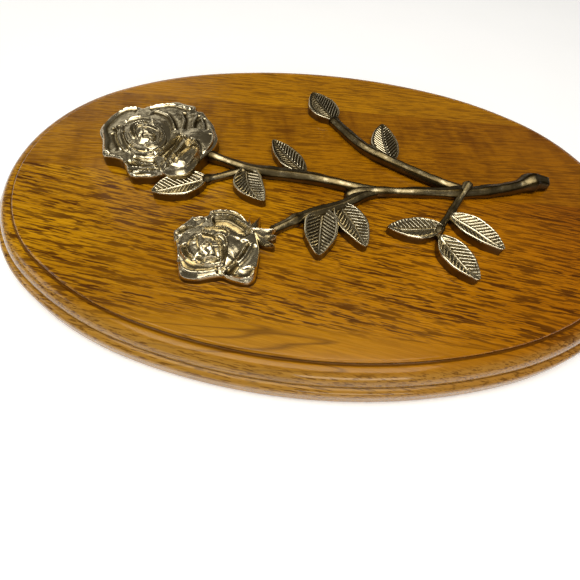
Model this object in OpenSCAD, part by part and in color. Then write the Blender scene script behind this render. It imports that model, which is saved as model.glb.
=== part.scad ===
// Oval oak wall plaque carrying a cast metal spray of two roses.
// The plaque lies on its back: z = 0 is the flat back of the board, +Z leaves the
// front face, X runs along the long axis and +Y points to the top of the hung plaque.

/* [Board] */
// Overall length of the oval board
board_l = 356; // [340:1:380]
// Overall width of the oval board
board_w = 232; // [224:1:240]
// Thickness of the board
board_t = 19; // [18:1:25]
// Radius of the oval's two end arcs
end_r = 95; // [92:0.5:97]
// Width of the routed moulding around the edge
moulding_w = 11.3; // [10.8:0.1:13]

/* [Staves] */
// Edge of the back stave, measured from the board's centre line
joint_back = 64; // [60:1:70]
// Edge between the middle and the front stave
joint_middle = -7; // [-12:1:-4]
// Edge between the front stave and the narrow front edge stave
joint_front = -78; // [-84:1:-76]

/* [Spray] */
// Height of the leaves' rims above the board
leaf_h = 5; // [4:0.5:7]
// Height of the big rose above the board
big_rose_h = 17; // [14:0.5:20]
// Height of the small rose above the board
small_rose_h = 11; // [9:0.5:13]

/* [Fixings] */
// Diameter of the threaded mounting studs
stud_d = 4; // [3:0.5:5]
// Diameter of the counterbores that hold the nuts
counterbore_d = 16; // [13:1:18]
// Depth of the counterbores
counterbore_depth = 8; // [7:0.5:9]
// Thickness of the keyhole hanger plate
plate_t = 1.5; // [1:0.1:2]
// Diameter of the keyhole's entry hole
keyhole_d = 9.5; // [9:0.5:10]
// Width of the keyhole's slot
keyhole_slot_w = 5; // [4:0.5:5.5]

/* [Hidden] */

half_l = board_l / 2;
half_w = board_w / 2;
OAK = "goldenrod";
METAL = "darkkhaki";
STEEL = "silver";

// Routed edge, from the back up: rounded bead, quirk, ovolo, small cove step.
bead_r = 3;
bead_top = 10.4;
back_round = 2;
ovolo_r = 6.4;
quirk_inset = 3.2;
step_drop = 1.8;
ring_w = 24;

// The oval is eight tangent arcs: two ends, four shoulders and two long sides. The end arcs
// pass into the shoulders on a 3-4-5 slope, and the shoulders into the sides on a 7-24-25 slope.
end_dir = [0.6, 0.8];
side_dir = [0.28, 0.96];
side_slope = (1 - side_dir[1]) / side_dir[0];
end_c = [half_l - end_r, 0];
arc_x = end_c[0] + end_r * end_dir[0];
arc_y = end_r * end_dir[1];
shoulder_r = (half_w - arc_y - arc_x * side_slope) / (1 - end_dir[1] - end_dir[0] * side_slope);
shoulder_c = [arc_x, arc_y] - shoulder_r * end_dir;
side_r = shoulder_r + shoulder_c[0] / side_dir[0];
side_c = [0, half_w - side_r];
far = 2 * side_r;

// Plan positions of the spray, in millimetres from the board's centre.
big_rose = [-97, 14];
big_rose_side = [-71, 16];
small_calyx = [-31, -46];
small_rose = [-52, -55];
rod_flat = 0.8;
rod_sides = 10;
// Each route point is [x, y, radius].
MAIN_ROUTE = [[22, -11, 3.2], [50, -8, 2.8], [76, -6, 3.2], [96, -2, 3.6], [114, 2, 3.8], [130, 5, 4.6]];
BIG_ROSE_ROUTE = [[-68, 8, 3.2], [-46, 1, 3.0], [-33, -2, 3.3], [-7, -4, 3.6], [23, -9, 3.2]];
SMALL_ROSE_ROUTE = [[-26, -43, 2.6], [-16, -36, 2.8], [-7, -30, 2.8], [10, -22, 3.0], [24, -12, 3.0]];
BRANCH_ROUTE = [[5, 51, 3.0], [22, 28, 3.4], [34, 18, 3.5], [55, 6, 3.4], [76, -3, 3.2]];
TWIG_ROUTE = [[77, -5, 2.2], [70, -20, 1.8], [61, -33, 1.8], [60, -41, 1.6]];
SHORT_TWIG_ROUTE = [[-44, 0, 2.2], [-55, -7, 2.2], [-66, -12, 2.2]];
STUDS = [big_rose, small_rose, [102, -1]];
stud_grip = 3;
stud_end = 2.5;
washer_t = 1;
nut_t = 3.2;
nut_flats = 7;
hanger = [0, 80];
slot_len = 12;
plate_l = 48;
plate_w = 26;
pocket_depth = 8;
screw_shank_r = 1.5;
screw_head_r = 3.2;
screw_len = 12;
screw_gap = 17;
recess_w = 0.8;
recess_l = 3.6;
recess_depth = 1.2;
// Height that every cut through the spray clears, and the play between nested castings.
clear_above = board_t + 40;
nested = 0.95;

// ---- shared shapes ----------------------------------------------------------

// Closed solid through equal rings of points, capped at both ends.
module loft(rings) {
    n = len(rings[0]);
    last = len(rings) - 1;
    sides = [for (k = [0:last - 1], i = [0:n - 1], half = [0, 1])
        let (a = k * n + i, b = k * n + (i + 1) % n, c = a + n, d = b + n)
        half == 0 ? [a, c, d] : [a, d, b]];
    polyhedron(
        points = [for (ring = rings, p = ring) p],
        faces = concat([[for (i = [0:n - 1]) i]], sides, [[for (i = [n - 1:-1:0]) last * n + i]])
    );
}

// Half section of the board's edge, for an arc of radius r.
module edge_section(r) {
    translate([r - ring_w, 0]) square([ring_w - moulding_w, board_t]);
    translate([r - ring_w, 0]) square([ring_w - quirk_inset - ovolo_r, board_t - step_drop]);
    translate([r - ring_w, 0]) square([ring_w - quirk_inset, board_t - step_drop - ovolo_r]);
    translate([r - quirk_inset - ovolo_r, board_t - step_drop - ovolo_r]) circle(r = ovolo_r, $fn = 64);
    translate([r - ring_w, 0]) square([ring_w - back_round, bead_top - bead_r]);
    translate([r - ring_w, 0]) square([ring_w - bead_r, bead_top]);
    translate([r - bead_r, bead_top - bead_r]) circle(r = bead_r, $fn = 48);
    translate([r - back_round, back_round]) circle(r = back_round, $fn = 48);
    translate([r - back_round, back_round]) square([back_round, bead_top - bead_r - back_round]);
}

// Moulded edge along one arc of the oval, between two directions from its centre.
module edge_arc(centre, r, from, to) {
    intersection() {
        translate([centre[0], centre[1], 0]) rotate_extrude($fn = 360) edge_section(r);
        translate([0, 0, -1]) linear_extrude(board_t + 2)
            polygon([centre, centre + far * from, centre + far * (from + to), centre + far * to]);
    }
}

// Point of the oval's middle slab, well inside the moulding, at normal angle a.
function slab_point(a) =
    let (inset = (ring_w + moulding_w) / 2, u = [cos(a), sin(a)])
    u[0] >= end_dir[0] ? end_c + (end_r - inset) * u
    : u[0] >= side_dir[0] ? shoulder_c + (shoulder_r - inset) * u
    : side_c + (side_r - inset) * u;

// The whole board before it is split into its staves.
module board_blank() {
    quarter = [for (a = [0:5:90]) slab_point(a)];
    linear_extrude(board_t) polygon(concat(
        quarter,
        [for (i = [17:-1:0]) [-quarter[i][0], quarter[i][1]]],
        [for (i = [1:18]) [-quarter[i][0], -quarter[i][1]]],
        [for (i = [17:-1:1]) [quarter[i][0], -quarter[i][1]]]
    ));
    for (flip = [0, 1]) mirror([flip, 0, 0]) {
        edge_arc(end_c, end_r, [end_dir[0], -end_dir[1]], end_dir);
        for (up = [0, 1]) mirror([0, up, 0]) edge_arc(shoulder_c, shoulder_r, end_dir, side_dir);
    }
    for (up = [0, 1]) mirror([0, up, 0]) edge_arc(side_c, side_r, side_dir, [-side_dir[0], side_dir[1]]);
}

// Smooth curve through the points of a route, as many short steps per span.
function spline(pts, per_span = 4) =
    let (last = len(pts) - 1)
    concat([for (k = [0:last - 1], i = [0:per_span - 1])
        let (t = i / per_span, p0 = pts[max(k - 1, 0)], p1 = pts[k], p2 = pts[k + 1],
             p3 = pts[min(k + 2, last)])
        0.5 * ((2 * p1) + (p2 - p0) * t + (2 * p0 - 5 * p1 + 4 * p2 - p3) * t * t
            + (3 * p1 - p0 - 3 * p2 + p3) * t * t * t)], [pts[last]]);

// Cast rod along a route, lying on the board with a flattened underside.
module rod(route) {
    path = spline(route);
    last = len(path) - 1;
    loft([for (k = [0:last])
        let (ahead = path[min(k + 1, last)] - path[max(k - 1, 0)], run = norm([ahead[0], ahead[1]]),
             side = [-ahead[1], ahead[0]] / run, r = path[k][2])
        [for (i = [0:rod_sides - 1])
            let (a = 360 * (i + 0.5) / rod_sides, across = r * cos(a))
            [path[k][0] + side[0] * across, path[k][1] + side[1] * across,
             board_t + rod_flat * r + r * max(sin(a), -rod_flat)]]]);
}

// Cast leaf from its base to its tip: flat back, upright rim, raised midrib.
module leaf(base, tip, width, bend) {
    steps = 12;
    rim = leaf_h;
    along = tip - base;
    length = norm(along);
    dir = along / length;
    side = [-dir[1], dir[0]];
    loft([for (k = [0:steps])
        let (s = k / steps, half = 0.5 + (width / 2 - 0.5) * pow(sin(180 * pow(s, 0.85)), 0.8),
             centre = base + along * s + side * bend * sin(180 * s),
             section = [[-1, 0], [1, 0], [1, rim], [0.84, rim], [0.72, rim - 0.9], [0.12, rim - 0.4],
                        [0, rim + 0.2], [-0.12, rim - 0.4], [-0.72, rim - 0.9], [-0.84, rim], [-1, rim]])
        [for (p = section)
            let (q = centre + side * half * p[0])
            [q[0], q[1], board_t + p[1]]]]);
}

// Mound of petals about a centre: lobed outline, upright wall and a rolled top.
module petals(centre, radius, height, wall, lobes, turn, lobe_depth, z0 = 0) {
    around = 48;
    rise = height - wall;
    shape = [[0.94, 0], [1, wall * 0.7], [0.97, wall], [0.8, wall + 0.12 * rise], [0.62, wall + 0.55 * rise],
             [0.42, wall + 0.9 * rise], [0.2, height]];
    loft([for (p = shape) [for (i = [0:around - 1])
        let (a = -360 * i / around, lobe = 1 + lobe_depth * cos(lobes * (a - turn)), r = radius * p[0] * lobe)
        [centre[0] + r * cos(a), centre[1] + r * sin(a), board_t + z0 + p[1]]]]);
}

// Round hole or plug in the spray, with its axis upright.
module upright(centre, r, z0, z1) {
    translate([centre[0], centre[1], z0]) cylinder(r = r, h = z1 - z0, $fn = 48);
}

// Blind hole in the back of a casting for one of the studs.
module stud_socket(place) {
    upright(place, stud_d / 2 + 0.05, board_t - 1, board_t + stud_grip + 0.2);
}

// ---- board ------------------------------------------------------------------

// Everything drilled or sunk into the board from its back.
module board_pockets() {
    for (p = STUDS) {
        upright(p, stud_d / 2 + 0.25, -1, board_t + 1);
        upright(p, counterbore_d / 2, -1, counterbore_depth);
    }
    plate_outline(plate_t, 0.15, -0.01);
    translate([hanger[0] - keyhole_d / 2 - 1, hanger[1] - keyhole_d / 2 - 1, -1])
        cube([keyhole_d + 2, slot_len + keyhole_d + 2, pocket_depth + 1]);
    for (p = screw_places()) upright(p, screw_shank_r + 0.05, -1, screw_len + 0.5);
}

// Board between two lines across its width.
module stave(y0, y1) {
    color(OAK) difference() {
        intersection() {
            board_blank();
            translate([-board_l, y0, -1]) cube([2 * board_l, y1 - y0, board_t + 2]);
        }
        board_pockets();
    }
}

module stave_back() { stave(joint_back, board_w); }
module stave_middle() { stave(joint_middle, joint_back); }
module stave_front() { stave(joint_front, joint_middle); }
module stave_front_edge() { stave(-board_w, joint_front); }

// ---- big rose ---------------------------------------------------------------

big_rose_r = 30;
big_inner_r = 17;
big_bud_r = 8;
big_side_r = 12;
big_bud = big_rose + [-3, -3];
big_inner_floor = 5;
big_bud_floor = 9;

module big_rose_outer_petals() {
    color(METAL) difference() {
        petals(big_rose, big_rose_r, height = 10.5, wall = 6.5, lobes = 6, turn = 30, lobe_depth = 0.05);
        upright(big_bud, big_inner_r, board_t + big_inner_floor, clear_above);
        upright(big_rose_side, big_side_r, board_t - 1, clear_above);
        stud_socket(big_rose);
    }
}

module big_rose_side_petals() {
    side_r = big_side_r * 0.98;
    color(METAL) petals(big_rose_side, side_r, height = 9, wall = 5.5, lobes = 5, turn = 10, lobe_depth = 0.02);
}

module big_rose_inner_petals() {
    top = big_rose_h - 2 - big_inner_floor;
    color(METAL) difference() {
        petals(big_bud, big_inner_r * nested, top, wall = 5, lobes = 5, turn = 50, lobe_depth = 0.05,
            z0 = big_inner_floor);
        upright(big_bud, big_bud_r, board_t + big_bud_floor, clear_above);
    }
}

module big_rose_bud() {
    top = big_rose_h - big_bud_floor;
    color(METAL)
        petals(big_bud, big_bud_r * nested, top, wall = 5.5, lobes = 3, turn = 10, lobe_depth = 0.05,
            z0 = big_bud_floor);
}

// ---- small rose -------------------------------------------------------------

small_rose_r = 19;
small_inner_r = 11;
small_bud_r = 5;
small_bud = small_rose + [-2, -2];
small_inner_floor = 4;
small_bud_floor = 6;
calyx_r = 8.5;
calyx_gap = 1.1;

module small_rose_outer_petals() {
    color(METAL) difference() {
        petals(small_rose, small_rose_r, height = 7.5, wall = 5, lobes = 4, turn = 45, lobe_depth = 0.06);
        upright(small_bud, small_inner_r, board_t + small_inner_floor, clear_above);
        stud_socket(small_rose);
    }
}

module small_rose_inner_petals() {
    top = small_rose_h - 1 - small_inner_floor;
    color(METAL) difference() {
        petals(small_bud, small_inner_r * nested, top, wall = 3.5, lobes = 4, turn = 10, lobe_depth = 0.05,
            z0 = small_inner_floor);
        upright(small_bud, small_bud_r, board_t + small_bud_floor, clear_above);
    }
}

module small_rose_bud() {
    top = small_rose_h - small_bud_floor;
    color(METAL)
        petals(small_bud, small_bud_r * nested, top, wall = 3.5, lobes = 3, turn = 40, lobe_depth = 0.05,
            z0 = small_bud_floor);
}

module small_rose_sepals() {
    color(METAL) difference() {
        petals(small_calyx, calyx_r, height = 4.6, wall = 3.2, lobes = 6, turn = 10, lobe_depth = 0.3);
        upright(small_rose, small_rose_r + calyx_gap, board_t - 1, clear_above);
    }
}

// ---- stems ------------------------------------------------------------------

module main_stem() {
    color(METAL) difference() {
        rod(MAIN_ROUTE);
        stud_socket(STUDS[2]);
    }
}

module big_rose_stem() {
    color(METAL) difference() {
        rod(BIG_ROSE_ROUTE);
        rod(MAIN_ROUTE);
    }
}

module small_rose_stem() {
    color(METAL) difference() {
        rod(SMALL_ROSE_ROUTE);
        rod(MAIN_ROUTE);
        rod(BIG_ROSE_ROUTE);
    }
}

module upper_branch() {
    color(METAL) difference() {
        rod(BRANCH_ROUTE);
        rod(MAIN_ROUTE);
    }
}

module leaf_twig() {
    color(METAL) difference() {
        rod(TWIG_ROUTE);
        rod(MAIN_ROUTE);
        rod(BRANCH_ROUTE);
    }
}

module short_twig() {
    color(METAL) difference() {
        rod(SHORT_TWIG_ROUTE);
        rod(BIG_ROSE_ROUTE);
    }
}

// ---- leaves -----------------------------------------------------------------

// A leaf cut back where it meets the stem that carries it.
module leaf_on(route, base, tip, width, bend) {
    color(METAL) difference() {
        leaf(base, tip, width, bend);
        rod(route);
    }
}

module leaf_beside_big_rose() { leaf_on(SHORT_TWIG_ROUTE, [-63, -11], [-88, -29], 17, 0); }

module leaf_in_front_of_stem() {
    difference() {
        leaf_on(BIG_ROSE_ROUTE, [-45, 0], [-30, -27], 14, -2);
        rod(SHORT_TWIG_ROUTE);
    }
}

module leaf_behind_stem() { leaf_on(BIG_ROSE_ROUTE, [-11, 0], [-30, 23], 13, 1); }

module leaf_pair_left() { leaf_on(SMALL_ROSE_ROUTE, [-0.5, -27], [-2, -56], 15, -1); }
module leaf_pair_right() { leaf_on(SMALL_ROSE_ROUTE, [9, -22], [21, -48], 14, 1); }
module leaf_branch_tip() { leaf_on(BRANCH_ROUTE, [7, 49], [-8, 76], 18, 1); }
module leaf_branch_side() { leaf_on(BRANCH_ROUTE, [40, 14], [38, 46], 15, 0); }
module leaf_twig_left() { leaf_on(TWIG_ROUTE, [60.5, -32], [33, -36], 13, 1); }
module leaf_twig_right() { leaf_on(TWIG_ROUTE, [68, -24], [91, -45], 14, 1); }

module leaf_twig_end() { leaf_on(TWIG_ROUTE, [60, -39], [74, -64], 14, 1); }

// ---- fixings ----------------------------------------------------------------

module mounting_studs() {
    color(STEEL) for (p = STUDS) upright(p, stud_d / 2, stud_end, board_t + stud_grip);
}

module stud_washers() {
    color(STEEL) for (p = STUDS) difference() {
        upright(p, counterbore_d / 2 - 1.5, counterbore_depth - washer_t, counterbore_depth);
        upright(p, stud_d / 2 + 0.15, 0, board_t);
    }
}

module stud_nuts() {
    nut_top = counterbore_depth - washer_t;
    color(STEEL) for (p = STUDS) difference() {
        translate([p[0], p[1], nut_top - nut_t]) cylinder(d = nut_flats / cos(30), h = nut_t, $fn = 6);
        upright(p, stud_d / 2 + 0.05, 0, board_t);
    }
}

// Places of the two screws at the ends of the hanger plate.
function screw_places() = let (mid = hanger + [0, slot_len / 2]) [mid - [screw_gap, 0], mid + [screw_gap, 0]];

// Round-ended plate outline, grown by gap all round.
module plate_outline(thickness, gap, z0) {
    mid = hanger + [0, slot_len / 2];
    span = (plate_l - plate_w) / 2;
    translate([mid[0] - span, mid[1] - plate_w / 2 - gap, z0])
        cube([2 * span, plate_w + 2 * gap, thickness - z0]);
    for (s = [-1, 1]) upright(mid + [s * span, 0], plate_w / 2 + gap, z0, thickness);
}

module hanger_plate() {
    color(STEEL) difference() {
        plate_outline(plate_t, 0, 0);
        upright(hanger, keyhole_d / 2, -1, plate_t + 1);
        translate([hanger[0] - keyhole_slot_w / 2, hanger[1], -1])
            cube([keyhole_slot_w, slot_len, plate_t + 2]);
        upright(hanger + [0, slot_len], keyhole_slot_w / 2, -1, plate_t + 1);
        for (p = screw_places()) screw_solid(p, 0.05);
    }
}

// Countersunk screw driven in from the back, grown by gap.
module screw_solid(place, gap) {
    translate([place[0], place[1], 0]) {
        cylinder(r1 = screw_head_r + gap, r2 = screw_shank_r + gap, h = plate_t, $fn = 48);
        cylinder(r = screw_shank_r + gap, h = screw_len, $fn = 48);
    }
}

// Cross recess in the head of a screw.
module cross_recess(place) {
    for (turn = [0, 90]) translate([place[0], place[1], 0]) rotate(turn)
        translate([-recess_l / 2, -recess_w / 2, -1]) cube([recess_l, recess_w, recess_depth + 1]);
}

module hanger_screws() {
    color(STEEL) for (p = screw_places()) difference() {
        screw_solid(p, 0);
        cross_recess(p);
    }
}

stave_back();
stave_middle();
stave_front();
stave_front_edge();
big_rose_outer_petals();
big_rose_side_petals();
big_rose_inner_petals();
big_rose_bud();
small_rose_outer_petals();
small_rose_inner_petals();
small_rose_bud();
small_rose_sepals();
main_stem();
big_rose_stem();
small_rose_stem();
upper_branch();
leaf_twig();
short_twig();
leaf_beside_big_rose();
leaf_in_front_of_stem();
leaf_behind_stem();
leaf_pair_left();
leaf_pair_right();
leaf_branch_tip();
leaf_branch_side();
leaf_twig_left();
leaf_twig_right();
leaf_twig_end();
mounting_studs();
stud_washers();
stud_nuts();
hanger_plate();
hanger_screws();
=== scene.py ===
"""Oval oak plaque with a cast metal spray of two roses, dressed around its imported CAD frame.

Lengths are in millimetres in the CAD frame, and heights of the spray are above the board's face.
Meshes are scaled to metres when they are made. Only the lights are placed in metres.
"""

import math

import bmesh
import bpy
import numpy as np
from mathutils import Matrix, Vector


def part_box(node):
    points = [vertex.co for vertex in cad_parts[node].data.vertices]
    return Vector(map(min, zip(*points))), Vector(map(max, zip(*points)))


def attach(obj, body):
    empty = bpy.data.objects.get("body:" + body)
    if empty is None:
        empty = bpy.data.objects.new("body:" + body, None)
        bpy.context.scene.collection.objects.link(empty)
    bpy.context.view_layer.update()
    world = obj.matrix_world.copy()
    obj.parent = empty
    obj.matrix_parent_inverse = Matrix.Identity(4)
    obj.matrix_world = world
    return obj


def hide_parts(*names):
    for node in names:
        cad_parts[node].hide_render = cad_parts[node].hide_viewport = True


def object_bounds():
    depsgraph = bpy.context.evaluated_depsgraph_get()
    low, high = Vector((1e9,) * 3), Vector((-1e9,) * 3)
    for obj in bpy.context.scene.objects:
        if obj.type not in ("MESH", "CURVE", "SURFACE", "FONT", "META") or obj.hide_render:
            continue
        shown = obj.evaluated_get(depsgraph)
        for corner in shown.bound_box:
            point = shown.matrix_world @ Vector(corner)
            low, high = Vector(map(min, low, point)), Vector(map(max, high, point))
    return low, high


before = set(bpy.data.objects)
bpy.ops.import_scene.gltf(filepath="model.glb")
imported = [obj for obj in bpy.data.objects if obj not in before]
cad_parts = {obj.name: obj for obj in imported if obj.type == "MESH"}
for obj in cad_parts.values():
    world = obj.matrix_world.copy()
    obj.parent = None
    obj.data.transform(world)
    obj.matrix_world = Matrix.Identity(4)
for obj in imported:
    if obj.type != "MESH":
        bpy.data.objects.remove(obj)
CAD_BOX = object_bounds()

MM = 0.001
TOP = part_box("stave_middle")[1].z / MM
HALF_L = round(CAD_BOX[1].x / MM)
HALF_W = round(CAD_BOX[1].y / MM)
JOINT_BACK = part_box("stave_back")[0].y / MM
JOINT_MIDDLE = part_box("stave_middle")[0].y / MM
JOINT_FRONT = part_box("stave_front")[0].y / MM

# ---- meshes -----------------------------------------------------------------


def mesh_object(name, points, faces, sharp_angle=40):
    """A mesh object from points in millimetres, smooth except over sharp edges."""
    mesh = bpy.data.meshes.new(name)
    mesh.from_pydata([tuple(float(c) * MM for c in p) for p in points], [], faces)
    mesh.validate()
    mesh.shade_smooth()
    mesh.set_sharp_from_angle(angle=math.radians(sharp_angle))
    made = bpy.data.objects.new(name, mesh)
    bpy.context.scene.collection.objects.link(made)
    return made


def loft(rings):
    """Points and faces of a closed skin over equal rings of points, capped at both ends."""
    rings = np.asarray(rings, float)
    count, n = rings.shape[:2]
    faces = [tuple(reversed(range(n)))]
    for k in range(count - 1):
        for i in range(n):
            j = (i + 1) % n
            faces.append((k * n + i, k * n + j, (k + 1) * n + j, (k + 1) * n + i))
    faces.append(tuple(range((count - 1) * n, count * n)))
    return rings.reshape(-1, 3), faces


def merge(parts):
    """One set of points and faces from several closed skins."""
    points, faces = [], []
    for part_points, part_faces in parts:
        start = len(points)
        points.extend(part_points)
        faces.extend([tuple(start + i for i in face) for face in part_faces])
    return points, faces


def spline(points, per_span, closed=False):
    """Smooth curve through a few points, with some steps to each span."""
    points = np.asarray(points, float)
    if closed:
        padded = np.vstack([points[-1:], points, points[:2]])
    else:
        padded = np.vstack([points[:1], points, points[-1:]])
    t = np.linspace(0, 1, per_span, endpoint=False)[:, None]
    curve = []
    for k in range(len(padded) - 3):
        p0, p1, p2, p3 = padded[k : k + 4]
        curve.append(0.5 * (2 * p1 + (p2 - p0) * t + (2 * p0 - 5 * p1 + 4 * p2 - p3) * t**2
                            + (3 * p1 - p0 - 3 * p2 + p3) * t**3))
    if not closed:
        curve.append(points[-1:])
    return np.vstack(curve)


def ripple(x, y, seed):
    """Gentle irregularity of a hand-finished casting, between about -1 and 1."""
    total = np.zeros_like(x)
    for k, (size, weight) in enumerate([(9.0, 0.5), (5.3, 0.3), (3.1, 0.2)]):
        turn = seed * 1.7 + k * 2.1
        u = (x * math.cos(turn) + y * math.sin(turn)) / size
        v = (y * math.cos(turn) - x * math.sin(turn)) / (size * 1.3)
        total += weight * np.sin(2 * math.pi * u + seed) * np.cos(2 * math.pi * v + 2 * seed)
    return total


def store(mesh, name, values):
    """Stores one number at each point of a mesh, for its material to read."""
    mesh.attributes.new(name, "FLOAT", "POINT").data.foreach_set("value", np.asarray(values, np.float32))


def mark_hollows(piece, rounds, reach, patina):
    """Stores how far each point lies below a smoothed copy of its piece, as a share of a reach.

    0.5 is level, 1 is a deep hollow, and some patina can be added all over."""
    mesh = piece.data
    points = np.array([v.co for v in mesh.vertices]) / MM
    normals = np.array([v.normal for v in mesh.vertices])
    edges = np.array([e.vertices[:] for e in mesh.edges])
    ends, others = np.vstack([edges, edges[:, ::-1]]).T
    links = np.maximum(np.bincount(ends, minlength=len(points)), 1)[:, None]
    smooth = points.copy()
    for _ in range(rounds):
        total = np.zeros_like(smooth)
        np.add.at(total, ends, smooth[others])
        smooth = 0.5 * smooth + 0.5 * total / links
    depth = np.einsum("ij,ij->i", smooth - points, normals) / reach
    store(mesh, "hollow", np.clip(0.5 + patina + 0.5 * depth, 0, 1))


def dress(piece, node, material):
    """Puts a piece in place of its CAD node, with its material."""
    piece.data.materials.clear()
    piece.data.materials.append(material)
    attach(piece, "root")
    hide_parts(node)


def cast(node, skin, metal, sharp_angle, rounds, reach=0.35, patina=0.0):
    """Puts a cast piece in place of its CAD node, from the points and faces of its skin."""
    piece = mesh_object(node + "_cast", *skin, sharp_angle)
    mark_hollows(piece, rounds, reach, patina)
    dress(piece, node, metal)


# ---- shader helpers ---------------------------------------------------------


def new_material(name):
    """An empty node material: its tree and its shader, already joined to the output."""
    material = bpy.data.materials.new(name)
    material.use_nodes = True
    tree = material.node_tree
    return material, tree, tree.nodes["Principled BSDF"]


def add(tree, kind, inputs=None, **settings):
    """A shader node with its settings, and its inputs given as values or as other sockets."""
    made = tree.nodes.new(kind)
    for name, value in settings.items():
        setattr(made, name, value)
    for name, value in (inputs or {}).items():
        if isinstance(value, bpy.types.NodeSocket):
            tree.links.new(value, made.inputs[name])
        else:
            made.inputs[name].default_value = value
    return made


def maths(tree, operation, a, b=0.0, c=0.0):
    """Result of one Math node."""
    return add(tree, "ShaderNodeMath", {0: a, 1: b, 2: c}, operation=operation).outputs[0]


def ramp(tree, value, stops):
    """Result of a colour ramp. Each stop is a place and a colour or a grey level."""
    made = add(tree, "ShaderNodeValToRGB", {0: value})
    elements = made.color_ramp.elements
    while len(elements) < len(stops):
        elements.new(0.5)
    for element, (place, colour) in zip(elements, stops):
        element.position = place
        element.color = (*colour, 1) if isinstance(colour, tuple) else (colour, colour, colour, 1)
    return made.outputs[0]


def blend(tree, kind, factor, a, b):
    """Result of mixing two colours."""
    mixed = add(tree, "ShaderNodeMix", data_type="RGBA", blend_type=kind)
    for socket, value in ((mixed.inputs[0], factor), (mixed.inputs[6], a), (mixed.inputs[7], b)):
        if isinstance(value, bpy.types.NodeSocket):
            tree.links.new(value, socket)
        else:
            socket.default_value = value if isinstance(value, float) else (*value, 1)
    return mixed.outputs[2]


def noise(tree, place, scale, detail, roughness=0.5):
    """Grey level of a noise texture."""
    made = add(tree, "ShaderNodeTexNoise",
               {"Vector": place, "Scale": scale, "Detail": detail, "Roughness": roughness})
    return made.outputs[0]


def fade(tree, value, start, end, most=1.0):
    """Grey level that runs from 0 where a value is at its start to the most where it is at its end."""
    made = add(tree, "ShaderNodeMapRange",
               {"Value": value, "From Min": start, "From Max": end, "To Max": most})
    return made.outputs[0]


def split(tree, vector):
    """The three parts of a vector."""
    return add(tree, "ShaderNodeSeparateXYZ", {0: vector}).outputs


def uprightness(tree):
    """How far the surface faces up: 1 where it is level and 0 on a wall."""
    return split(tree, add(tree, "ShaderNodeNewGeometry").outputs["Normal"])[2]


def stored(tree, name):
    """The number that store() put at each point."""
    return add(tree, "ShaderNodeAttribute", attribute_name=name).outputs["Fac"]


def in_millimetres(tree, turn=0.0, shift=(0, 0, 0), stretch=(1, 1, 1)):
    """Object coordinates in millimetres, turned about the upright axis, then stretched and moved."""
    place = add(tree, "ShaderNodeTexCoord").outputs["Object"]
    turned = add(tree, "ShaderNodeMapping",
                 {"Vector": place, "Rotation": (0, 0, math.radians(turn)), "Scale": (1 / MM,) * 3})
    moved = add(tree, "ShaderNodeMapping",
                {"Vector": turned.outputs[0], "Location": shift, "Scale": stretch})
    return moved.outputs[0]


# ---- materials --------------------------------------------------------------

PALE_OAK = (0.46, 0.22, 0.003)
RUDDY = (0.72, 0.5, 0.3)
RUDDY_FROM, RUDDY_TO = -110.0, 140.0
UMBER = (0.085, 0.024, 0.001)
EDGE_BROWN = (0.42, 0.24, 0.06)
SEED_SHIFT = (311.0, 57.0, 23.0)
BAND_WANDER = 5.5
BAND_TINT = 0.18
FINE_DASHES = 0.72
PORE_TINT = 0.9
# Strength of the painted shade in the channel and the quirk of the routed edge.
PAINTED_SHADE_TINT = 0.85
EDGE_TINT = 0.5
SILK_SLANT = -8
FIBRE_SHARE, TONE_SHARE = 0.55, 0.75
CALM_LINE, CALM_WANDER, CALM_FADE = -92.0, 16.0, 3.0
CALM_TURN = 1
CALM_PORES = 0.15
CALM_TINT = 0.5
FLECKS = 0.75


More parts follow.
